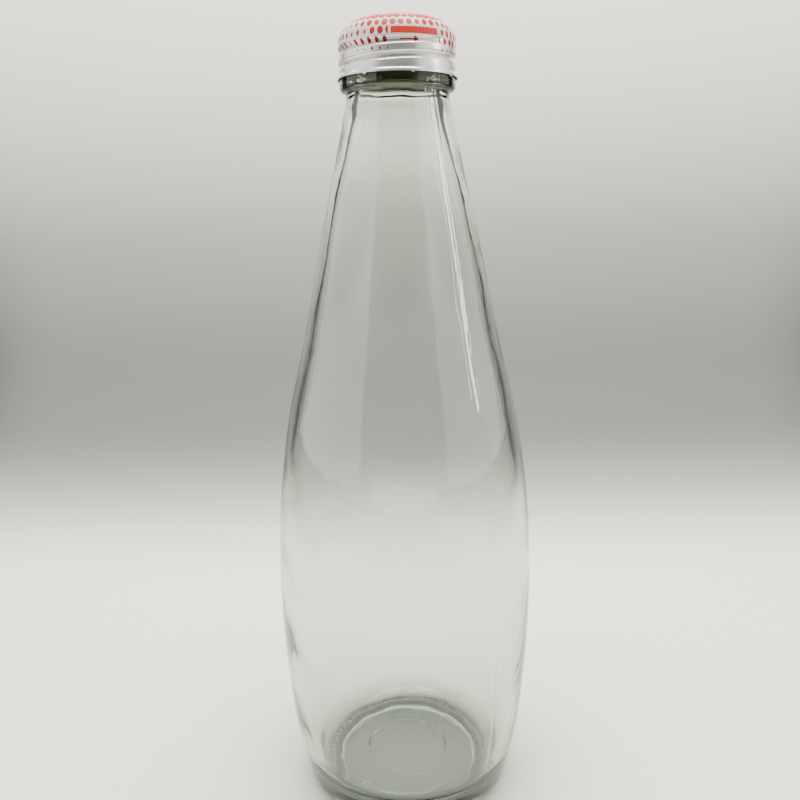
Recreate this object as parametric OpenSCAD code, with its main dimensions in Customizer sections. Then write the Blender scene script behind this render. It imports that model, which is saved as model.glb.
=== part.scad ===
// Tall round glass soda bottle, closed by a roll-on aluminium screw cap with a moulded liner.
// Millimetres, +Z up. The origin is on the axis, at the surface that the bottle stands on.
// The front, where the cap's printed bar is, faces -Y.

/* [Bottle body] */
// Outer radius of the flat ring that the bottle stands on
foot_r = 24.5; // [23.5:0.1:25]
// Inner radius of that ring
foot_inner_r = 20.2; // [19:0.1:21]
// Height where the rounded heel meets the side
heel_z = 5; // [4.5:0.1:6]
// Outer radius there
heel_r = 28.7; // [28:0.1:29.2]
// Height of the widest place
belly_z = 57; // [50:0.5:64]
// Outer radius at the widest place
belly_r = 33.9; // [33:0.1:35]
// Height where the belly turns into the long taper
shoulder_z = 104; // [100:0.5:108]
// Outer radius there
shoulder_r = 29.6; // [29:0.1:30.2]
// Outer radius of the throat, just under the collar ring
throat_r = 12.4; // [12:0.1:12.8]
// Height of the push-up in the middle of the base
push_up = 4; // [3.2:0.1:4.5]
// Thickness of the floor over the push-up
floor_t = 3.4; // [3:0.1:5]

/* [Bottle finish] */
// Height of the collar ring's lower face
ring_z = 183.1; // [182.6:0.1:184]
// Outer radius of the collar ring
ring_r = 13.9; // [13.6:0.05:13.95]
// Height of the collar ring
ring_h = 3.6; // [3.3:0.1:3.8]
// Outer radius of the finish behind the thread
root_r = 12.5; // [12.4:0.05:12.6]
// Outer radius of the thread's crest
crest_r = 13.6; // [13.3:0.05:13.65]
// Rise of the thread in one turn
pitch = 3.175; // [3.1:0.025:3.25]
// Radius of the mouth
bore_r = 9.4; // [9:0.1:9.8]

/* [Cap] */
// Outer radius of the cap's wall
cap_r = 14.05; // [14.05:0.01:14.15]
// Outer radius of the flared lower edge
flare_r = 14.45; // [14.4:0.05:14.6]
// Thickness of the aluminium
sheet_t = 0.25; // [0.2:0.01:0.28]
// Depth of the rolled thread groove
groove_d = 0.75; // [0.5:0.05:0.8]
// Width of the rolled thread groove
groove_w = 2; // [1.6:0.1:2.1]

/* [Hidden] */
$fn = 96;

// Finish heights, from the collar ring up
lip_z = ring_z + 14.5;
ring_top = ring_z + ring_h;
// Rounding of the ring's lower and upper corners, and of the outside and inside of the lip
ring_under = 1.5;
ring_over = 0.5;
ring_fillet = 0.8;
lip_round = 1.5;
lip_inner_round = 1;

// The side of the body: height and outer radius of the rings that it passes through
SIDE = [
    [heel_z, heel_r],
    [14, belly_r - 3.1],
    [32, belly_r - 1],
    [belly_z, belly_r],
    [82, belly_r - 1.1],
    [shoulder_z, shoulder_r],
    [124, shoulder_r - 4.7],
    [148, throat_r + 7.5],
    [ring_z - 17.1, throat_r + 3.4],
    [ring_z - 4.6, throat_r + 0.7],
    [ring_z - 2.2, throat_r + 0.1],
    [ring_z, throat_r]
];
// Height and thickness of the wall, from the inside heel to where the straight mouth starts
floor_z = 12;
throat_z = ring_z - 4.8;
WALL = [[floor_z, 3], [belly_z, 2.4], [shoulder_z, 2.5], [148, 2.9], [throat_z, 3.4]];
mouth_z = ring_z - 0.8;
side_step = 3;
// Radii in the base: the flat of the push-up, its step, and the moat of the floor inside
push_up_r = 10.8;
step_r = 11.4;
moat_r = 20;
moat_d = 2.4;

// Cap heights, from its lower edge up
edge_z = ring_z + 2.9;
wall_h = 7.65;
dome_a = 5.65;
dome_b = 5.4;
cap_top = edge_z + wall_h + dome_b;
cap_sides = 64;
wall_rings = 14;
// Angles above the level of the rings on the cap's rounded shoulder
DOME = [75, 60, 45, 30, 15];
// Height above the edge and radius of the plain wall, before the thread is rolled in
SKIRT = [[0, flare_r], [0.5, flare_r - 0.05], [1.1, cap_r + 0.05], [2.2, cap_r + 0.08], [2.8, cap_r]];

// The thread runs anticlockwise and up. Angles are from +X, and the front is at 270
FRONT = 270;
groove_from = 160;
groove_to = 690;
groove_front_h = 3.5;
ridge_from = 180;
ridge_to = 680;
ridge_front_z = edge_z + groove_front_h + pitch / 2;
run_out = 40;
ridge_base_w = 2.1;
ridge_crest_w = 0.9;
ridge_steps = 64;
// How far the ridge's foot reaches into the glass, and how much wider it is there
ridge_bury = 0.4;
ridge_spread = 0.3;

// Liner heights, its clearance in the cap, and the raised web inside its sealing pad
liner_gap = 0.12;
liner_z = lip_z + 0.05;
liner_top = cap_top - sheet_t - liner_gap;
web_h = 0.4;
web_r = 9;
pad_inner_r = 9.4;
rim_chamfer = 0.1;

// Smooth curve through the points [z, value] of list p, with no break in slope
function span(p, i) = p[i + 1][0] - p[i][0];
function secant(p, i) = (p[i + 1][1] - p[i][1]) / span(p, i);
function mid_slope(p, i) =
    (secant(p, i - 1) * span(p, i) + secant(p, i) * span(p, i - 1)) / (span(p, i - 1) + span(p, i));
function slope(p, i) =
    i == 0 ? 1.5 * secant(p, 0) - 0.5 * mid_slope(p, 1) :
    i == len(p) - 1 ? 1.5 * secant(p, i - 1) - 0.5 * mid_slope(p, i - 1) :
    mid_slope(p, i);
function piece_at(p, z, i = 0) = i < len(p) - 2 && z > p[i + 1][0] ? piece_at(p, z, i + 1) : i;
function smooth(p, z) =
    let (i = piece_at(p, z), h = span(p, i), t = (z - p[i][0]) / h)
    (1 + 2 * t) * (1 - t) ^ 2 * p[i][1] + t * (1 - t) ^ 2 * h * slope(p, i)
    + t ^ 2 * (3 - 2 * t) * p[i + 1][1] + t ^ 2 * (t - 1) * h * slope(p, i + 1);

// Points along a cubic curve from a to d, pulled towards b and c
function bend(a, b, c, d, n) =
    [for (k = [0:n]) let (t = k / n)
        (1 - t) ^ 3 * a + 3 * t * (1 - t) ^ 2 * b + 3 * t ^ 2 * (1 - t) * c + t ^ 3 * d];

// Share of full depth along a thread that fades in and out at its two ends
function fade(a, from, to) = let (t = min(1, max(0, min(a - from, to - a) / run_out))) t * t * (3 - 2 * t);

// ---- bottle ----

function under_base() = concat(
    bend([0, push_up], [6, push_up], [push_up_r - 1.2, push_up - 0.3], [push_up_r, push_up - 0.8], 6),
    bend([step_r, push_up - 1.4], [15, push_up - 1.8], [foot_inner_r - 0.8, 1.9], [foot_inner_r, 0], 6));

function heel() = bend(
    [foot_r, 0], [foot_r + 2.4, 0],
    [heel_r - 2.8 * slope(SIDE, 0), heel_z - 2.8], [heel_r, heel_z], 8);

function outer_side() = [
    for (z = [heel_z + side_step : side_step : ring_z - 5]) [smooth(SIDE, z), z],
    for (z = [ring_z - 4 : ring_z - 1]) [smooth(SIDE, z), z]];

function finish() = concat(
    bend(
        [throat_r, ring_z], [throat_r + 1, ring_z],
        [ring_r, ring_z + 0.4], [ring_r, ring_z + ring_under], 5),
    bend(
        [ring_r, ring_top - ring_over], [ring_r, ring_top],
        [root_r + 0.9, ring_top], [root_r, ring_top + ring_fillet], 4),
    [for (a = [0:15:90]) [root_r - lip_round * (1 - cos(a)), lip_z - lip_round * (1 - sin(a))]],
    [for (a = [90:-22.5:0])
        [bore_r + lip_inner_round * (1 - cos(a)), lip_z - lip_inner_round * (1 - sin(a))]]);

function inner_side() = [
    [bore_r, mouth_z],
    for (z = [throat_z : -side_step : floor_z + 1]) [smooth(SIDE, z) - smooth(WALL, z), z]];

function floor_line() =
    let (r = smooth(SIDE, floor_z) - smooth(WALL, floor_z), top = push_up + floor_t, low = top - moat_d)
    concat(
        bend([r, floor_z], [r - 0.9, floor_z - 4.5], [moat_r + 4.5, low], [moat_r, low], 8),
        bend([moat_r - 1, low], [13, low], [8, top], [0, top], 8));

// One turn of the thread's cross-section at angle a, from its foot inside the wall
function ridge_ring(a) =
    let (
        z = ridge_front_z + pitch * (a - FRONT) / 360,
        f = fade(a, ridge_from, ridge_to),
        r = root_r - 0.1 + (crest_r - root_r + 0.1) * f,
        foot = ridge_base_w / 2,
        crest = ridge_crest_w / 2)
    [for (p = [
        [root_r - ridge_bury, -foot - ridge_spread], [r, -crest],
        [r, crest], [root_r - ridge_bury, foot + ridge_spread]])
        [p[0] * cos(a), p[0] * sin(a), z + p[1]]];

module ridge() {
    corners = 4;
    step = (ridge_to - ridge_from) / ridge_steps;
    points = [for (k = [0:ridge_steps]) each ridge_ring(ridge_from + k * step)];
    walls = [for (k = [0:ridge_steps - 1], c = [0:corners - 1]) let (
        a = k * corners + c,
        b = k * corners + (c + 1) % corners)
        each [[a, b, b + corners], [a, b + corners, a + corners]]];
    last = ridge_steps * corners;
    ends = [[3, 2, 1], [3, 1, 0], [last, last + 1, last + 2], [last, last + 2, last + 3]];
    polyhedron(points = points, faces = concat(walls, ends), convexity = 6);
}

module bottle() {
    color([0.8, 0.87, 0.82, 0.4]) {
        rotate_extrude() polygon(
            concat(under_base(), heel(), outer_side(), finish(), inner_side(), floor_line()));
        ridge();
    }
}

// ---- cap shell ----

// Depth of the rolled groove at angle a and height h above the edge
function groove_at(a, h) =
    let (x = (h - groove_front_h - pitch * (a - FRONT) / 360) / (groove_w / 2))
    abs(x) < 1 ? groove_d * cos(90 * x) ^ 2 * fade(a, groove_from, groove_to) : 0;
function groove(a, h) = groove_at(a, h) + groove_at(a + 360, h);

// Radius and height of the cap's outer face, station by station from the top panel down to the edge
WALL_LINE = [for (k = [wall_rings : -1 : 0]) wall_h * k / wall_rings];
function cap_ring(a, inset) = [
    [cap_r - dome_a, wall_h + dome_b - inset],
    for (t = DOME) [cap_r - dome_a + (dome_a - inset) * cos(t), wall_h + (dome_b - inset) * sin(t)],
    for (h = WALL_LINE) [lookup(h, SKIRT) - groove(a, h) - inset, h]];

module cap_shell() {
    color([0.93, 0.9, 0.88]) {
        stations = 1 + len(DOME) + len(WALL_LINE);
        rings = 2 * stations;
        step = 360 / cap_sides;
        grid = [for (k = [0:cap_sides - 1]) let (
            outside = cap_ring(k * step, 0),
            inside = cap_ring(k * step, sheet_t))
            [for (s = [0:rings - 1]) s < stations ? outside[s] : inside[rings - 1 - s]]];
        skin = [for (s = [0:rings - 1], k = [0:cap_sides - 1]) let (p = grid[k][s])
            [p[0] * cos(k * step), p[0] * sin(k * step), edge_z + p[1]]];
        top = rings * cap_sides;
        centres = [[0, 0, cap_top], [0, 0, cap_top - sheet_t]];
        walls = [for (s = [0:rings - 2], k = [0:cap_sides - 1]) let (
            a = s * cap_sides + k,
            b = s * cap_sides + (k + 1) % cap_sides)
            each [[a, b, b + cap_sides], [a, b + cap_sides, a + cap_sides]]];
        last = (rings - 1) * cap_sides;
        panels = [for (k = [0:cap_sides - 1]) let (next = (k + 1) % cap_sides)
            each [[top, next, k], [top + 1, last + k, last + next]]];
        polyhedron(points = concat(skin, centres), faces = concat(panels, walls), convexity = 6);
    }
}

// ---- cap liner ----

// The liner's rim follows the inside of the cap's dome, a small gap away
function dome_inside(z) =
    let (a = dome_a - sheet_t - liner_gap, b = dome_b - sheet_t - liner_gap, s = (z - edge_z - wall_h) / b)
    cap_r - dome_a + a * sqrt(max(0, 1 - s * s));

module cap_liner() {
    color([0.9, 0.9, 0.86])
        rotate_extrude() polygon(concat(
            [[0, liner_z + web_h], [web_r, liner_z + web_h], [pad_inner_r, liner_z]],
            [[dome_inside(liner_z) - rim_chamfer, liner_z]],
            [for (z = [liner_z + rim_chamfer : 0.2 : liner_top]) [dome_inside(z), z]],
            [[cap_r - dome_a, liner_top], [0, liner_top]]));
}

bottle();
cap_shell();
cap_liner();
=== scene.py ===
import math

import bmesh
import bpy
import numpy as np
from mathutils import Matrix, Vector


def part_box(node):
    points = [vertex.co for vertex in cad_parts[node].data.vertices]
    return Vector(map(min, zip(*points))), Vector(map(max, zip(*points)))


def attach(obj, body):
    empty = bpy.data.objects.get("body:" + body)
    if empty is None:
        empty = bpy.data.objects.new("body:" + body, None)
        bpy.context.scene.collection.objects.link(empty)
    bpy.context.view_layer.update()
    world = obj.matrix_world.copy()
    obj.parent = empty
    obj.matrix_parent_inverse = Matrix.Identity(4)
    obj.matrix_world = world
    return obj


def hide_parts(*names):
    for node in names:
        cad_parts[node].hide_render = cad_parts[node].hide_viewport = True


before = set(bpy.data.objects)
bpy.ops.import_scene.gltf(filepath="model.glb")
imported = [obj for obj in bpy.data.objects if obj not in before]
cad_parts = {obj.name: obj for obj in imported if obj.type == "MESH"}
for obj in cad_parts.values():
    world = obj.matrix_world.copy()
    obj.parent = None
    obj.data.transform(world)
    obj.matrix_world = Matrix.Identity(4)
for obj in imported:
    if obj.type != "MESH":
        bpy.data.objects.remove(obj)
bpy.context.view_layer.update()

# ---- sizes in millimetres, taken from the frame ----

MM = 0.001
bottle_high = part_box("bottle")[1] / MM
cap_low, cap_high = (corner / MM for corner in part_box("cap_shell"))
liner_low, liner_high = (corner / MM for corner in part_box("cap_liner"))

BELLY_R = bottle_high.x
LIP_Z = bottle_high.z
EDGE_Z = cap_low.z
FLARE_R = cap_high.x
CAP_TOP = cap_high.z

# Bottle body
FOOT_R = 24.5
FOOT_INNER_R = 20.2
HEEL_Z, HEEL_R = 5.0, 28.7
SHOULDER_Z, SHOULDER_R = 104.0, 29.6
THROAT_R = 12.4
PUSH_UP = 4.0
FLOOR_T = 3.4
FLOOR_Z = 12.0

# Bottle finish
RING_Z = LIP_Z - 14.5
RING_H = 3.6
RING_R = 13.9
ROOT_R = 12.5
CREST_R = 13.6
BORE_R = 9.4
LIP_ROUND = 1.5
PITCH = 3.175

# Cap
CAP_R = FLARE_R - 0.4
WALL_H = 7.65
DOME_A, DOME_B = 5.65, CAP_TOP - EDGE_Z - WALL_H
SHEET_T = 0.25
GROOVE_D = 0.75
GROOVE_W = 2.0
KNURLS = 96

# Thread: angles in degrees anticlockwise from +X, so the front is at 270
FRONT = 270.0
GROOVE_SPAN = (160.0, 690.0)
GROOVE_FRONT_Z = EDGE_Z + 3.5
RIDGE_SPAN = (180.0, 680.0)
RIDGE_FRONT_Z = GROOVE_FRONT_Z + PITCH / 2
RUN_OUT = 40.0

# Mould seams of the glass
SEAMS = (312.0, 132.0)

SIDE = [
    (HEEL_Z, HEEL_R),
    (14, BELLY_R - 3.1),
    (32, BELLY_R - 1.0),
    (57, BELLY_R),
    (82, BELLY_R - 1.1),
    (SHOULDER_Z, SHOULDER_R),
    (124, SHOULDER_R - 4.7),
    (148, THROAT_R + 7.5),
    (RING_Z - 17.1, THROAT_R + 3.4),
    (RING_Z - 4.6, THROAT_R + 0.7),
    (RING_Z - 2.2, THROAT_R + 0.1),
    (RING_Z, THROAT_R),
]
THROAT_Z = RING_Z - 4.8
MOUTH_Z = RING_Z - 0.8
WALL = [(FLOOR_Z, 3.3), (30, 3.1), (57, 2.5), (SHOULDER_Z, 2.3), (148, 2.0), (166, 2.2), (THROAT_Z, 3.2)]


# ---- curves ----

def smooth(points, at):
    """Height-to-value curve through the points, with no break in slope."""
    z, value = np.array(points, float).T
    gap, rise = np.diff(z), np.diff(value) / np.diff(z)
    slope = np.empty(len(z))
    slope[1:-1] = (rise[:-1] * gap[1:] + rise[1:] * gap[:-1]) / (gap[:-1] + gap[1:])
    slope[0] = 1.5 * rise[0] - 0.5 * slope[1]
    slope[-1] = 1.5 * rise[-1] - 0.5 * slope[-2]
    at = np.asarray(at, float)
    i = np.clip(np.searchsorted(z, at) - 1, 0, len(z) - 2)
    h = gap[i]
    t = (at - z[i]) / h
    return (
        (1 + 2 * t) * (1 - t) ** 2 * value[i]
        + t * (1 - t) ** 2 * h * slope[i]
        + t**2 * (3 - 2 * t) * value[i + 1]
        + t**2 * (t - 1) * h * slope[i + 1]
    )


def bend(a, b, c, d, count):
    """Points (radius, height) along a cubic curve from a to d, pulled towards b and c."""
    t = np.linspace(0, 1, count + 1)[:, None]
    a, b, c, d = (np.array(p, float) for p in (a, b, c, d))
    return (1 - t) ** 3 * a + 3 * t * (1 - t) ** 2 * b + 3 * t**2 * (1 - t) * c + t**3 * d


def column(radii, heights):
    return np.stack([np.broadcast_to(radii, np.shape(heights)), heights], axis=1)


def fade(angle, span):
    """Share of full depth along a thread that fades in and out at its two ends."""
    t = np.clip(np.minimum(angle - span[0], span[1] - angle) / RUN_OUT, 0, 1)
    return t * t * (3 - 2 * t)


def thread(angle, z, front_z, span, shape):
    """Height of a helical form at an angle and height: shape(distance from its middle) where it runs."""
    total = 0
    for turn in (0, 360):
        middle = front_z + PITCH * (angle + turn - FRONT) / 360
        total = total + shape(np.abs(z - middle)) * fade(angle + turn, span)
    return total


def ripple(angle, z, size, seed, waves=9, longest=60.0):
    """Slow unevenness of blown glass: a fixed sum of waves round and along the bottle."""
    draw = np.random.default_rng(seed)
    total = 0
    for _ in range(waves):
        around = draw.integers(1, 7)
        along = draw.uniform(0.6, 3.0) * 2 * math.pi / longest
        phase = draw.uniform(0, 2 * math.pi)
        total = total + draw.uniform(0.4, 1.0) * np.sin(around * np.radians(angle) + along * z + phase)
    return size * total / waves


# ---- mesh building ----

def angles_round(count, seams=(), window=1.6, fine=(0.2, 0.45, 0.8, 1.2)):
    """Even angles round the axis, with more of them beside each seam."""
    even = np.arange(count) * 360 / count
    for seam in seams:
        off = (even - seam + 180) % 360 - 180
        even = even[np.abs(off) > window]
        near = [seam, *(seam + f for f in fine), *(seam - f for f in fine)]
        even = np.concatenate([even, np.array(near) % 360])
    return np.sort(even)


def halved(angles):
    """Each gap between angles cut in two."""
    after = np.append(angles[1:], angles[0] + 360)
    return np.stack([angles, (angles + after) / 2], axis=1).ravel() % 360


class Skin:
    """Rings of points round the axis, joined into one closed surface."""

    def __init__(self):
        self.points, self.faces, self.marks = [], [], []
        self.last = None

    def pole(self, z):
        self.points.append((0.0, 0.0, z))
        return len(self.points) - 1

    def open_with(self, z):
        self.last = [self.pole(z)]

    def ring(self, radii, heights, angles, mark=0):
        """Adds a ring, and the faces from the ring before it."""
        start = len(self.points)
        a = np.radians(angles)
        radii, heights = np.broadcast_to(radii, a.shape), np.broadcast_to(heights, a.shape)
        self.points.extend(zip(radii * np.cos(a), radii * np.sin(a), heights))
        now = list(range(start, start + len(a)))
        self.join(now, mark)
        self.last = now

    def close_with(self, z, mark=0):
        self.join([self.pole(z)], mark)

    def join(self, now, mark):
        """Faces between the last ring and this one, which may have half or twice as many points, or one."""
        old, n, m = self.last, len(self.last), len(now)
        if n == 1:
            made = [(old[0], now[(i + 1) % m], now[i]) for i in range(m)]
        elif m == 1:
            made = [(old[i], old[(i + 1) % n], now[0]) for i in range(n)]
        elif n == m:
            made = [(old[i], old[(i + 1) % n], now[(i + 1) % n], now[i]) for i in range(n)]
        elif m == 2 * n:
            made = [
                (old[i], old[(i + 1) % n], now[(2 * i + 2) % m], now[2 * i + 1], now[2 * i])
                for i in range(n)
            ]
        else:
            made = [
                (old[2 * i], old[2 * i + 1], old[(2 * i + 2) % n], now[(i + 1) % m], now[i])
                for i in range(m)
            ]
        self.faces.extend(made)
        self.marks.extend([mark] * len(made))

    def build(self, name, materials, sharp=None):
        """The finished object. The surface is turned to face outwards."""
        mesh = bpy.data.meshes.new(name)
        mesh.from_pydata((np.array(self.points) * MM).tolist(), [], self.faces)
        mesh.polygons.foreach_set("material_index", self.marks)
        mesh.polygons.foreach_set("use_smooth", [True] * len(self.faces))
        for material in materials:
            mesh.materials.append(material)
        shape = bmesh.new()
        shape.from_mesh(mesh)
        bmesh.ops.recalc_face_normals(shape, faces=shape.faces)
        shape.to_mesh(mesh)
        shape.free()
        if sharp is not None:
            mesh.set_sharp_from_angle(angle=math.radians(sharp))
        made = bpy.data.objects.new(name, mesh)
        bpy.context.scene.collection.objects.link(made)
        return made


# ---- camera ----

CAMERA_AT = (0.0, -0.20427, 0.1555)
LOOKS_DOWN = 13.254
TURNED = 0.175
ROLLED = -0.914
LENS = 36.045
SENSOR = 36.0


def make_camera():
    """An upright camera close in front, a little below the cap, looking down at the base."""
    down, turn, roll = (math.radians(v) for v in (LOOKS_DOWN, TURNED, ROLLED))
    turned = Matrix.Rotation(turn, 3, "Z")
    ahead = turned @ Vector((0, math.cos(down), -math.sin(down)))
    right = turned @ Vector((1, 0, 0))
    up = right.cross(ahead)
    level = Matrix((right, up, -ahead)).transposed()
    data = bpy.data.cameras.new("camera")
    data.lens, data.sensor_width = LENS, SENSOR
    data.clip_start, data.clip_end = 0.01, 20
    camera = bpy.data.objects.new("camera", data)
    placed = (level @ Matrix.Rotation(roll, 3, "Z")).to_4x4()
    placed.translation = CAMERA_AT
    camera.matrix_world = placed
    bpy.context.scene.collection.objects.link(camera)
    bpy.context.scene.camera = camera


make_camera()


# ---- shader helpers ----

class Tree:
    """Short ways to add and join nodes in one material or group."""

    def __init__(self, tree):
        self.tree = tree

    def node(self, kind, **inputs):
        made = self.tree.nodes.new(kind)
        for key, value in inputs.items():
            self.feed(made.inputs[key.replace("_", " ")], value)
        return made

    def feed(self, socket, value):
        if isinstance(value, bpy.types.NodeSocket):
            self.tree.links.new(value, socket)
        else:
            socket.default_value = value

    def sum(self, operation, *values):
        """One Math node, with up to three values."""
        made = self.tree.nodes.new("ShaderNodeMath")
        made.operation = operation
        for socket, value in zip(made.inputs, values):
            self.feed(socket, value)
        return made.outputs[0]

    def ramp(self, value, low, high, to_low=0.0, to_high=1.0):
        """Smooth step of a value from one range to another."""
        made = self.tree.nodes.new("ShaderNodeMapRange")
        made.interpolation_type = "SMOOTHSTEP"
        for socket, v in zip(made.inputs, (value, low, high, to_low, to_high)):
            self.feed(socket, v)
        return made.outputs[0]

    def blend(self, share, a, b):
        """Colour between a and b."""
        made = self.tree.nodes.new("ShaderNodeMix")
        made.data_type = "RGBA"
        self.feed(made.inputs["Factor"], share)
        self.feed(made.inputs["A"], a)
        self.feed(made.inputs["B"], b)
        return made.outputs["Result"]

    def noise(self, place, scale, detail=2.0, rough=0.5):
        made = self.node("ShaderNodeTexNoise", Scale=scale, Detail=detail, Roughness=rough)
        self.feed(made.inputs["Vector"], place)
        return made.outputs["Fac"]

    def use(self, group, **inputs):
        made = self.tree.nodes.new("ShaderNodeGroup")
        made.node_tree = group
        for key, value in inputs.items():
            self.feed(made.inputs[key.replace("_", " ")], value)
        return made


def new_group(name, inputs, outputs):
    """A shader node group, its Tree, its input sockets and its output node."""
    group = bpy.data.node_groups.new(name, "ShaderNodeTree")
    for socket, kind, value in inputs:
        made = group.interface.new_socket(socket, in_out="INPUT", socket_type=kind)
        if value is not None:
            made.default_value = value
    for socket, kind in outputs:
        group.interface.new_socket(socket, in_out="OUTPUT", socket_type=kind)
    tree = Tree(group)
    given = group.nodes.new("NodeGroupInput").outputs
    result = group.nodes.new("NodeGroupOutput").inputs
    return group, tree, given, result


def new_material(name):
    """A material with its Tree and its Principled BSDF."""
    material = bpy.data.materials.new(name)
    material.use_nodes = True
    return material, Tree(material.node_tree), material.node_tree.nodes["Principled BSDF"]


FLOAT, VECTOR = "NodeSocketFloat", "NodeSocketVector"


def make_place_group():
    """Where a point is round the axis: its angle in turns, its radius and its height in millimetres."""
    group, t, given, result = new_group(
        "round_place", [("Point", VECTOR, None)], [("Turn", FLOAT), ("Radius", FLOAT), ("Height", FLOAT)]
    )
    axes = t.node("ShaderNodeSeparateXYZ", Vector=given["Point"])
    x, y, z = axes.outputs
    angle = t.sum("ARCTAN2", y, x)
    t.feed(result["Turn"], t.sum("FRACT", t.sum("MULTIPLY_ADD", angle, 1 / (2 * math.pi), 1.0)))
    square = t.sum("ADD", t.sum("MULTIPLY", x, x), t.sum("MULTIPLY", y, y))
    t.feed(result["Radius"], t.sum("DIVIDE", t.sum("SQRT", square), MM))
    t.feed(result["Height"], t.sum("DIVIDE", z, MM))
    return group


def make_wear_group():
    """Handling marks: soft smudges, and fine specks and scuffs, each as a mask from 0 to 1."""
    group, t, given, result = new_group(
        "handling_marks",
        [("Point", VECTOR, None), ("Smudge Scale", FLOAT, 60.0), ("Speck Scale", FLOAT, 900.0)],
        [("Smudge", FLOAT), ("Speck", FLOAT), ("Height", FLOAT)],
    )
    soft = t.noise(given["Point"], given["Smudge Scale"], 4.0, 0.6)
    t.feed(result["Smudge"], t.ramp(soft, 0.48, 0.72))
    cells = t.node("ShaderNodeTexVoronoi", Vector=given["Point"], Scale=given["Speck Scale"])
    near = t.ramp(cells.outputs["Distance"], 0.05, 0.16, 1.0, 0.0)
    rare = t.ramp(t.noise(given["Point"], given["Smudge Scale"], 1.0), 0.5, 0.62)
    t.feed(result["Speck"], t.sum("MULTIPLY", near, rare))
    t.feed(result["Height"], t.noise(given["Point"], t.sum("MULTIPLY", given["Smudge Scale"], 2.5), 2.0))
    return group


place_group = make_place_group()
wear_group = make_wear_group()


# ---- floor and lights ----

def floor_material():
    """Pale matt paper with painted shade on it: a painted shadow in front and to the sides, painted grey
    shade behind, and pale again high on the backdrop where the painted shade fades out.
    """
    material, t, shader = new_material("pale_floor")
    point = t.node("ShaderNodeTexCoord").outputs["Object"]
    axes = t.node("ShaderNodeSeparateXYZ", Vector=point).outputs
    across = t.sum("ABSOLUTE", axes["X"])
    # Mask of the painted shadow in front of the bottle and out to the sides
    ahead = t.sum("MAXIMUM", t.ramp(axes["Y"], -0.25, -0.13, 1.0, 0.0), t.ramp(across, 0.22, 0.32))
    # Painted shade: that shadow, or grey shade on the floor behind and low on the backdrop, which fades out
    # higher up
    shade = t.sum("MAXIMUM", ahead, t.ramp(axes["Y"], 0.11, 0.28))
    shade = t.sum("SUBTRACT", shade, t.ramp(axes["Z"], 0.05, 0.29, 0.0, 0.95))
    # Colour of the painted shade: grey behind, darker in the painted shadow in front and to the sides
    painted_shadow_grey = t.blend(ahead, (0.17, 0.17, 0.165, 1), (0.05, 0.05, 0.048, 1))
    fibre = t.noise(point, 400.0, 3.0)
    pale = t.blend(fibre, (0.87, 0.85, 0.745, 1), (0.90, 0.88, 0.775, 1))
    t.feed(shader.inputs["Base Color"], t.blend(shade, pale, painted_shadow_grey))
    shader.inputs["Roughness"].default_value = 0.9
    shader.inputs["Specular IOR Level"].default_value = 0.1
    return material


def make_floor():
    """A pale floor that curves up into a backdrop behind the bottle."""
    front, taper_y, bend_y, radius, height = -1.6, 0.12, 0.19, 0.14, 1.1
    line = [(front, 0.0)]
    line += [(y, 0.0) for y in np.linspace(front / 2, bend_y, 9)]
    line += [
        (bend_y + radius * math.sin(t), radius * (1 - math.cos(t)))
        for t in np.linspace(0.1, math.pi / 2, 16)
    ]
    line += [(bend_y + radius, z) for z in np.linspace(radius + 0.05, height, 6)]
    half = [float(np.interp(y, (taper_y, bend_y + radius), (0.75, 0.31))) for y, z in line]
    points = [(side * w, y, z) for (y, z), w in zip(line, half) for side in (-1, 1)]
    faces = [(2 * i, 2 * i + 1, 2 * i + 3, 2 * i + 2) for i in range(len(line) - 1)]
    mesh = bpy.data.meshes.new("floor")
    mesh.from_pydata(points, [], faces)
    mesh.polygons.foreach_set("use_smooth", [True] * len(faces))
    mesh.materials.append(floor_material())
    floor = bpy.data.objects.new("floor", mesh)
    bpy.context.scene.collection.objects.link(floor)


def add_light(name, place, aim, size, glow, colour=(1, 1, 1)):
    """A soft panel, out of sight itself. Its glow is the brightness of its face."""
    data = bpy.data.lights.new(name, "AREA")
    data.shape = "RECTANGLE"
    data.size, data.size_y = size
    data.energy, data.color = glow * math.pi * size[0] * size[1], colour
    light = bpy.data.objects.new(name, data)
    light.location = place
    light.rotation_euler = (Vector(aim) - Vector(place)).to_track_quat("-Z", "Y").to_euler()
    light.visible_camera = False
    bpy.context.scene.collection.objects.link(light)


def make_lights():
    warm, cool = (1.0, 0.985, 0.96), (0.95, 0.98, 1.0)
    add_light("ceiling_softbox", (0.0, -0.05, 0.95), (0, -0.05, 0), (0.7, 0.6), 14.3, warm)
    add_light("backdrop_wash", (0.0, 0.14, 0.50), (0, 0.33, 0.32), (0.9, 0.05), 18.0, warm)
    add_light("left_panel", (-0.8, -0.25, 0.52), (0, -0.25, 0.52), (1.35, 1.0), 1.5, cool)
    add_light("right_panel", (0.8, -0.25, 0.52), (0, -0.25, 0.52), (1.35, 1.0), 1.3, warm)
    add_light("low_fill", (0.0, -0.62, 0.03), (0, 0, 0.19), (0.7, 0.05), 1.5, warm)
    add_light("right_strip", (0.72, -0.12, 0.42), (0, 0, 0.2), (0.03, 0.5), 24.0, warm)
    world = bpy.data.worlds.new("studio")
    world.use_nodes = True
    world.node_tree.nodes["Background"].inputs["Color"].default_value = (0.60, 0.62, 0.64, 1)
    world.node_tree.nodes["Background"].inputs["Strength"].default_value = 0.10
    bpy.context.scene.world = world


make_floor()
make_lights()


# ---- glass ----

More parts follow.
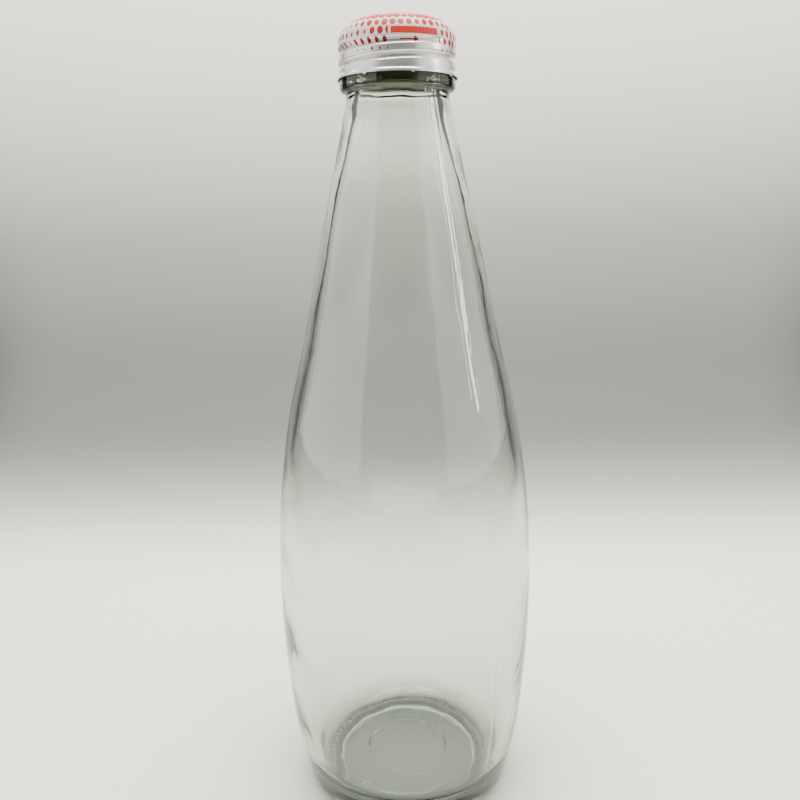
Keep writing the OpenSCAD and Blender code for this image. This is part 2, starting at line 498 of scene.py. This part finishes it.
def glass_material():
    """Clear soda-lime glass with a faint green cast, handling smudges and slight surface waviness."""
    material, t, shader = new_material("clear_glass")
    point = t.node("ShaderNodeTexCoord").outputs["Object"]
    wear = t.use(wear_group, Point=point, Smudge_Scale=45.0, Speck_Scale=700.0).outputs
    shader.inputs["Base Color"].default_value = (1.0, 1.0, 1.0, 1)
    shader.inputs["Transmission Weight"].default_value = 1.0
    shader.inputs["IOR"].default_value = 1.52
    clean, marked, specked = 0.008, 0.07, 0.2
    rough = t.sum("MULTIPLY_ADD", wear["Smudge"], marked - clean, clean)
    t.feed(shader.inputs["Roughness"], t.sum("MULTIPLY_ADD", wear["Speck"], specked, rough))
    waves = t.node("ShaderNodeBump", Strength=0.12, Distance=0.0006, Height=wear["Height"])
    t.feed(shader.inputs["Normal"], waves.outputs["Normal"])
    depth = t.node("ShaderNodeVolumeAbsorption", Color=(0.42, 0.57, 0.44, 1), Density=100.0)
    t.feed(material.node_tree.nodes["Material Output"].inputs["Volume"], depth.outputs[0])
    return material


TEETH = 96
TOOTH_DEPTH = 0.45
TEETH_FROM = 22.3
SEAM_H, SEAM_W = 0.06, 0.25


def seam(angle, radius):
    """Height of the fine ridges that the mould's joint leaves."""
    total = 0
    for at in SEAMS:
        off = np.radians((angle - at + 180) % 360 - 180) * radius
        total = total + SEAM_H * np.exp(-((off / SEAM_W) ** 2))
    return total


def ridge_shape(distance):
    """Section of the glass thread: a flat crest with sloping sides."""
    base, crest = 1.05, 0.40
    return (CREST_R - ROOT_R) * np.clip((base - distance) / (base - crest), 0, 1) ** 0.8


def glass_outside(skin, angles):
    """The outer face, from the middle of the base up to the lip."""
    fine = halved(angles)
    under = np.concatenate([
        bend((0.6, PUSH_UP), (6, PUSH_UP), (9.6, PUSH_UP - 0.3), (10.8, PUSH_UP - 0.8), 14),
        bend(
            (11.3, PUSH_UP - 1.35), (15, PUSH_UP - 1.8),
            (FOOT_INNER_R - 0.8, 1.9), (FOOT_INNER_R, 0.15), 18,
        ),
    ])
    skin.open_with(PUSH_UP)
    for r, z in under:
        skin.ring(r, z, angles)
    for r in np.linspace(FOOT_INNER_R + 0.3, TEETH_FROM, 4):
        skin.ring(r, 0.0, angles)
    for r in np.linspace(TEETH_FROM + 0.1, FOOT_R - 0.2, 10):
        into = np.sin(math.pi * (r - TEETH_FROM) / (FOOT_R - TEETH_FROM)) ** 0.4
        tooth = 0.5 - 0.5 * np.cos(np.radians(fine) * TEETH)
        skin.ring(r, TOOTH_DEPTH * into * tooth, fine)
    slope = (smooth(SIDE, HEEL_Z + 0.01) - HEEL_R) / 0.01
    heel = bend((FOOT_R, 0), (FOOT_R + 2.4, 0), (HEEL_R - 2.8 * slope, HEEL_Z - 2.8), (HEEL_R, HEEL_Z), 18)
    for r, z in heel:
        skin.ring(r + seam(angles, r) * min(1, z / 2), z, angles)
    for z in np.arange(HEEL_Z + 1, RING_Z - 0.4, 1.3):
        r = smooth(SIDE, z)
        skin.ring(r + seam(angles, r) + ripple(angles, z, 0.05, 3), z, angles)
    ring = np.concatenate([
        bend((THROAT_R, RING_Z), (THROAT_R + 1, RING_Z), (RING_R, RING_Z + 0.4), (RING_R, RING_Z + 1.5), 12),
        column(RING_R, np.linspace(RING_Z + 1.9, RING_Z + RING_H - 0.8, 4)),
        bend(
            (RING_R, RING_Z + RING_H - 0.5), (RING_R, RING_Z + RING_H),
            (ROOT_R + 0.9, RING_Z + RING_H), (ROOT_R, RING_Z + RING_H + 0.8), 9,
        ),
    ])
    for r, z in ring:
        skin.ring(r + 0.8 * seam(angles, r) + ripple(angles, z, 0.03, 8, longest=14), z, angles)
    for z in np.arange(RING_Z + RING_H + 0.95, LIP_Z - LIP_ROUND - 0.05, 0.17):
        ridge = thread(angles, z, RIDGE_FRONT_Z, RIDGE_SPAN, ridge_shape)
        skin.ring(ROOT_R + ridge, z, angles)
    for a in np.radians(np.linspace(0, 90, 10)):
        skin.ring(ROOT_R - LIP_ROUND * (1 - np.cos(a)), LIP_Z - LIP_ROUND * (1 - np.sin(a)), angles)


def glass_inside(skin, angles):
    """The inner face, from the lip down the bore and the wall to the middle of the floor."""
    for a in np.radians(np.linspace(90, 0, 8)):
        skin.ring(BORE_R + 1 - np.cos(a), LIP_Z - 1 + np.sin(a), angles)
    for z in np.arange(LIP_Z - 2.4, MOUTH_Z, -1.4):
        skin.ring(BORE_R + ripple(angles, z, 0.05, 5, longest=20), z, angles)
    for z in np.arange(MOUTH_Z, FLOOR_Z + 0.6, -1.6):
        r = smooth(SIDE, min(z, THROAT_Z)) - smooth(WALL, min(z, THROAT_Z))
        r = r + (BORE_R - r) * max(0, (z - THROAT_Z) / (MOUTH_Z - THROAT_Z))
        skin.ring(r + ripple(angles, z, 0.22, 11), z, angles)
    r = float(smooth(SIDE, FLOOR_Z) - smooth(WALL, FLOOR_Z))
    top = PUSH_UP + FLOOR_T
    low = top - 2.4
    floor = np.concatenate([
        bend((r, FLOOR_Z), (r - 0.9, FLOOR_Z - 4.5), (24.5, low), (20, low), 22),
        bend((19, low), (13, low), (8, top), (0.8, top), 24),
    ])
    for r, z in floor:
        skin.ring(r, z + ripple(angles, 3 * r, 0.16 * min(1, r / 8), 17, longest=50), angles)
    skin.close_with(top)


def make_bottle():
    angles = angles_round(192, SEAMS)
    skin = Skin()
    glass_outside(skin, angles)
    glass_inside(skin, angles)
    bottle = skin.build("glass_bottle", [glass_material()])
    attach(bottle, "bottle")
    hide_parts("bottle")


# ---- cap ----

DOT_COLUMNS = 46
ROW_GAP, ROW_SHIFT = 1.9, 0.65
BAR_TURN, BAR_H = 17.5, 8.55
ARROW_TURN, ARROW_H = 12.0, 6.75
ARROW_TIP = 2.5
DOWN_SPAN = 14.0
DOT_SIZES = ((2.2, 1.0), (3.9, 0.90), (5.8, 0.64), (7.7, 0.50), (9.7, 0.42), (11.6, 0.17))
INK_COVER, METAL_SHARE = 0.75, 0.75


def make_print_group():
    """The cap's print: where it is inked, and how far down the cap, for a point on its face."""
    group, t, given, result = new_group(
        "cap_print",
        [("Point", VECTOR, None), ("Turn", FLOAT, 0.0), ("Radius", FLOAT, 0.0), ("Height", FLOAT, 0.0)],
        [("Ink", FLOAT), ("Panel", FLOAT), ("Down", FLOAT)],
    )
    point, turn, radius, height = (given[k] for k in ("Point", "Turn", "Radius", "Height"))
    dome_z, dome_r, arc = EDGE_Z + WALL_H, CAP_R - DOME_A, (DOME_A + DOME_B) / 2
    # Distance down the cap's face from the edge of its top panel
    up = t.sum("MAXIMUM", t.sum("SUBTRACT", height, dome_z), 0.0)
    out = t.sum("MAXIMUM", t.sum("SUBTRACT", radius, dome_r), 0.0)
    below = t.sum("MAXIMUM", t.sum("SUBTRACT", dome_z, height), 0.0)
    inwards = t.sum("MINIMUM", t.sum("SUBTRACT", radius, dome_r), 0.0)
    down = t.sum("MULTIPLY_ADD", t.sum("ARCTAN2", out, up), arc, t.sum("ADD", below, inwards))
    # Staggered rows of dots, which shrink down the cap and vary round it
    wander = t.sum("MULTIPLY_ADD", t.noise(point, 160.0, 1.0), 0.5, -0.1)
    row_at = t.sum("DIVIDE", t.sum("ADD", t.sum("ADD", down, wander), ROW_SHIFT), ROW_GAP)
    row = t.sum("FLOOR", row_at)
    column_at = t.sum("MULTIPLY_ADD", turn, DOT_COLUMNS, t.sum("MULTIPLY", t.sum("PINGPONG", row, 1.0), 0.5))
    cell = t.node("ShaderNodeCombineXYZ", X=t.sum("FLOOR", column_at), Y=row)
    chance = t.node("ShaderNodeTexWhiteNoise", Vector=cell.outputs[0])
    chance.noise_dimensions = "2D"
    mm_across = t.sum("MULTIPLY", radius, 2 * math.pi / DOT_COLUMNS)
    across = t.sum("MULTIPLY", t.sum("SUBTRACT", t.sum("FRACT", column_at), 0.5), mm_across)
    along = t.sum("MULTIPLY", t.sum("SUBTRACT", t.sum("FRACT", row_at), 0.5), ROW_GAP)
    along = t.sum("MULTIPLY", along, t.ramp(down, 3.0, 8.0, 1.0, 0.72))
    distance = t.sum("SQRT", t.sum("ADD", t.sum("MULTIPLY", across, across), t.sum("MULTIPLY", along, along)))
    size = t.node("ShaderNodeFloatCurve", Value=t.sum("DIVIDE", down, DOWN_SPAN))
    curve = size.mapping.curves[0]
    curve.points[0].location = (0.0, 1.0)
    curve.points[1].location = (1.0, 0.0)
    for mark, radius_mm in DOT_SIZES:
        curve.points.new(mark / DOWN_SPAN, radius_mm)
    size.mapping.update()
    uneven = t.sum("MULTIPLY_ADD", t.noise(point, 95.0, 1.0), 1.1, -0.58)
    uneven = t.sum("MULTIPLY_ADD", chance.outputs["Value"], 0.26, t.sum("ADD", uneven, -0.12))
    uneven = t.sum("MULTIPLY", uneven, t.ramp(down, 2.0, 12.0, 1.0, 0.45))
    dots = t.ramp(t.sum("SUBTRACT", distance, t.sum("ADD", size.outputs[0], uneven)), -0.05, 0.05, 1.0, 0.0)
    # A plain bar on the knurl and a small arrow under it, with the ground kept clear round them
    off_bar = t.sum("ABSOLUTE", t.sum("SUBTRACT", turn, (FRONT + BAR_TURN) / 360))
    over_bar = t.sum("ABSOLUTE", t.sum("SUBTRACT", height, EDGE_Z + BAR_H))
    bar = t.sum("MULTIPLY", t.ramp(off_bar, 0.0640, 0.0652, 1.0, 0.0), t.ramp(over_bar, 0.70, 0.78, 1.0, 0.0))
    clear = t.sum("MAXIMUM", t.ramp(off_bar, 0.069, 0.072), t.ramp(height, EDGE_Z + 9.5, EDGE_Z + 9.6))
    dots = t.sum("MULTIPLY", dots, clear)
    u = t.sum("MULTIPLY", t.sum("SUBTRACT", turn, (FRONT + ARROW_TURN) / 360), 2 * math.pi * CAP_R)
    v = t.sum("ABSOLUTE", t.sum("SUBTRACT", height, EDGE_Z + ARROW_H))
    along_shaft = t.sum("ABSOLUTE", t.sum("ADD", u, 0.5))
    shaft = t.sum("MULTIPLY", t.ramp(v, 0.12, 0.18, 1.0, 0.0), t.ramp(along_shaft, 1.7, 1.76, 1.0, 0.0))
    to_tip = t.sum("SUBTRACT", ARROW_TIP, u)
    past_side = t.sum("SUBTRACT", v, t.sum("MULTIPLY", to_tip, 0.5))
    head = t.sum("MULTIPLY", t.ramp(past_side, -0.04, 0.04, 1.0, 0.0), t.ramp(u, 1.1, 1.16))
    arrow = t.sum("MAXIMUM", shaft, t.sum("MULTIPLY", head, t.sum("LESS_THAN", u, ARROW_TIP)))
    t.feed(result["Ink"], t.sum("MAXIMUM", dots, arrow))
    t.feed(result["Panel"], bar)
    t.feed(result["Down"], down)
    return group


def print_material():
    """White enamel over the shoulder and pale rolled aluminium below, printed with coral to crimson dots."""
    material, t, shader = new_material("printed_aluminium")
    point = t.node("ShaderNodeTexCoord").outputs["Object"]
    place = t.use(place_group, Point=point).outputs
    turn, radius, height = place["Turn"], place["Radius"], place["Height"]
    printed = t.use(make_print_group(), Point=point, Turn=turn, Radius=radius, Height=height).outputs
    ink = t.sum("MAXIMUM", printed["Ink"], printed["Panel"])
    enamel = t.ramp(height, EDGE_Z + 7.2, EDGE_Z + 7.9)
    wear = t.use(wear_group, Point=point, Smudge_Scale=120.0, Speck_Scale=1400.0).outputs
    # Ink darkens down the cap, but the bar stays light
    deep = t.sum("MULTIPLY", t.ramp(printed["Down"], 4.5, 10.0), t.sum("SUBTRACT", 1.0, printed["Panel"]))
    # Painted shade: the red on and near the top panel is darker than the coral lower down, to take back some
    # of the strong light from above
    light = t.ramp(printed["Down"], 3.0, 8.0)
    coral = t.blend(light, (0.50, 0.012, 0.010, 1), (0.74, 0.05, 0.04, 1))
    red = t.blend(deep, coral, (0.45, 0.014, 0.030, 1))
    metal = t.blend(wear["Smudge"], (0.93, 0.915, 0.885, 1), (0.83, 0.815, 0.785, 1))
    ground = t.blend(enamel, metal, (0.88, 0.87, 0.85, 1))
    t.feed(shader.inputs["Base Color"], t.blend(ink, ground, red))
    bare = t.sum("SUBTRACT", 1.0, t.sum("MAXIMUM", enamel, t.sum("MULTIPLY", ink, INK_COVER)))
    t.feed(shader.inputs["Metallic"], t.sum("MULTIPLY", bare, METAL_SHARE))
    rough = t.sum("MULTIPLY_ADD", wear["Smudge"], 0.10, t.sum("MULTIPLY_ADD", bare, 0.02, 0.27))
    t.feed(shader.inputs["Roughness"], t.sum("MULTIPLY_ADD", wear["Speck"], 0.15, rough))
    shader.inputs["Specular IOR Level"].default_value = 0.15
    # Fine rolling lines round the wall, under small dents
    level = t.node("ShaderNodeCombineXYZ", Z=t.sum("MULTIPLY", height, MM))
    lines = t.noise(level.outputs[0], 2600.0, 2.0)
    rolled = t.node("ShaderNodeBump", Strength=0.08, Distance=0.0002, Height=lines)
    dents = t.node("ShaderNodeBump", Strength=0.22, Distance=0.0004, Height=wear["Height"])
    t.feed(dents.inputs["Normal"], rolled.outputs["Normal"])
    t.feed(shader.inputs["Normal"], dents.outputs["Normal"])
    return material


def lacquer_material():
    """Gold-olive lacquer on the inside of the cap."""
    material, t, shader = new_material("gold_lacquer")
    point = t.node("ShaderNodeTexCoord").outputs["Object"]
    wear = t.use(wear_group, Point=point, Smudge_Scale=150.0, Speck_Scale=1200.0).outputs
    t.feed(shader.inputs["Base Color"], t.blend(wear["Smudge"], (0.34, 0.29, 0.10, 1), (0.22, 0.19, 0.07, 1)))
    shader.inputs["Metallic"].default_value = 0.85
    t.feed(shader.inputs["Roughness"], t.sum("MULTIPLY_ADD", wear["Smudge"], 0.15, 0.28))
    rolled = t.node("ShaderNodeBump", Strength=0.2, Distance=0.0003, Height=wear["Height"])
    t.feed(shader.inputs["Normal"], rolled.outputs["Normal"])
    return material


PRINTED, LACQUERED = 0, 1
SKIRT = [
    (0.0, FLARE_R),
    (0.45, FLARE_R - 0.05),
    (0.95, CAP_R + 0.06),
    (1.7, CAP_R + 0.12),
    (2.6, CAP_R + 0.04),
    (3.1, CAP_R),
    (WALL_H, CAP_R),
]
STUB_TURN, STUBS = 14.0, 8
KNURL_H, KNURL_DEPTH = 8.6, 0.17
STUB_DEPTH = 0.4


def groove_shape(distance):
    """Section of the rolled groove."""
    return np.where(distance < GROOVE_W / 2, GROOVE_D * np.cos(math.pi * distance / GROOVE_W) ** 2, 0)


def knurl(angle, h):
    """Depth of the fine upright grips round the top of the wall."""
    band = np.clip(1 - np.abs(h - KNURL_H), 0, 1)
    return KNURL_DEPTH * band**0.5 * (0.5 - 0.5 * np.cos(np.radians(angle) * KNURLS))


def stub(angle):
    """Share of a torn bridge stub at an angle, 0 away from one and 1 at its middle."""
    off = (angle - FRONT - STUB_TURN + 180 / STUBS) % (360 / STUBS) - 180 / STUBS
    return np.clip(1.4 - np.abs(off) / 1.3, 0, 1)


def cap_ring(skin, angles, radius, h, inset, mark):
    """A ring of the cap's face, with the groove and grips pressed into it."""
    z = EDGE_Z + h
    groove = thread(angles, z, GROOVE_FRONT_Z, GROOVE_SPAN, groove_shape)
    lowered = STUB_DEPTH * stub(angles) * max(0, 1 - h / 0.3)
    skin.ring(radius - groove - knurl(angles, h) - inset, z - lowered, angles, mark)


def cap_wall(skin, angles, h, inset, mark):
    base = np.interp(h, *np.array(SKIRT).T)
    cap_ring(skin, angles, base, h, inset, mark)


def cap_dome(skin, angles, rise, inset, mark):
    """A ring of the rounded shoulder, by its angle above the level."""
    r = CAP_R - DOME_A + (DOME_A - inset) * math.cos(rise)
    cap_ring(skin, angles, r, WALL_H + (DOME_B - inset) * math.sin(rise), 0, mark)


def make_cap():
    angles = np.arange(KNURLS * 4) * 360 / (KNURLS * 4)
    heights = np.concatenate([np.arange(WALL_H, 0.9, -0.15), np.linspace(0.86, 0, 9)])
    leans = np.radians(np.concatenate([np.linspace(90, 24, 22), np.linspace(22, 1.5, 16)]))
    panel_r, recess = CAP_R - DOME_A, 0.14
    panel = [(0.3, recess), (3, recess), (6, recess), (panel_r - 1.5, recess), (panel_r - 1.0, recess * 0.8),
             (panel_r - 0.7, recess * 0.2), (panel_r - 0.4, 0.0)]
    skin = Skin()
    skin.open_with(CAP_TOP - recess)
    for r, sink in panel:
        skin.ring(r, CAP_TOP - sink, angles, PRINTED)
    for lean in leans:
        cap_dome(skin, angles, lean, 0, PRINTED)
    for h in heights:
        cap_wall(skin, angles, h, 0, PRINTED)
    for h in heights[::-1]:
        cap_wall(skin, angles, h, SHEET_T, LACQUERED)
    for lean in leans[::-1]:
        cap_dome(skin, angles, lean, SHEET_T, LACQUERED)
    for r, sink in panel[::-1]:
        skin.ring(r, CAP_TOP - SHEET_T - sink, angles, LACQUERED)
    skin.close_with(CAP_TOP - SHEET_T - recess, LACQUERED)
    cap = skin.build("printed_cap", [print_material(), lacquer_material()], sharp=50)
    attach(cap, "cap")
    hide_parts("cap_shell")


# ---- liner ----

def liner_material():
    """Milky moulded plastic, faintly marked where the lip presses."""
    material, t, shader = new_material("liner_plastic")
    point = t.node("ShaderNodeTexCoord").outputs["Object"]
    place = t.use(place_group, Point=point).outputs
    wear = t.use(wear_group, Point=point, Smudge_Scale=150.0, Speck_Scale=1500.0).outputs
    pressed = t.ramp(t.sum("ABSOLUTE", t.sum("SUBTRACT", place["Radius"], 10.9)), 0.4, 0.9, 1.0, 0.0)
    grey = t.sum("MAXIMUM", t.sum("MULTIPLY", pressed, 0.6), wear["Smudge"])
    t.feed(shader.inputs["Base Color"], t.blend(grey, (0.78, 0.78, 0.72, 1), (0.60, 0.60, 0.54, 1)))
    t.feed(shader.inputs["Roughness"], t.sum("MULTIPLY_ADD", grey, -0.15, 0.55))
    shader.inputs["Subsurface Weight"].default_value = 0.15
    shader.inputs["Subsurface Radius"].default_value = (0.002, 0.002, 0.0015)
    grain = t.node("ShaderNodeBump", Strength=0.15, Distance=0.0003, Height=wear["Height"])
    t.feed(shader.inputs["Normal"], grain.outputs["Normal"])
    return material


def make_liner():
    """A moulded disc with a raised centre web and a sealing pad with two fine beads."""
    angles = np.arange(160) * 360 / 160
    low, high, rim = liner_low.z, liner_high.z, liner_high.x
    pad_in, web_rise = 9.4, 0.4
    line = np.concatenate([
        column(np.array([0.6, 3, 5, 7]), np.full(4, low + web_rise)),
        bend((8.6, low + web_rise), (9.1, low + web_rise), (9.2, low), (pad_in + 0.2, low), 6),
        [(pad_in + 0.5 + 0.1 * k, low + 0.05 * (1 - math.cos(k * math.pi / 3))) for k in range(1, 19)],
        bend((rim - 0.12, low), (rim, low), (rim, low + 0.1), (rim - 0.05, low + 0.14), 4),
        bend((rim - 0.1, low + 0.2), (rim - 0.6, low + 0.55), (rim - 1.2, high), (rim - 2.2, high), 8),
        column(np.array([8, 6, 4, 2, 0.6]), np.full(5, high)),
    ])
    skin = Skin()
    skin.open_with(low + web_rise)
    for r, z in line:
        skin.ring(r, z, angles)
    skin.close_with(high)
    liner = skin.build("sealing_liner", [liner_material()], sharp=45)
    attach(liner, "liner")
    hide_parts("cap_liner")


make_bottle()
make_cap()
make_liner()
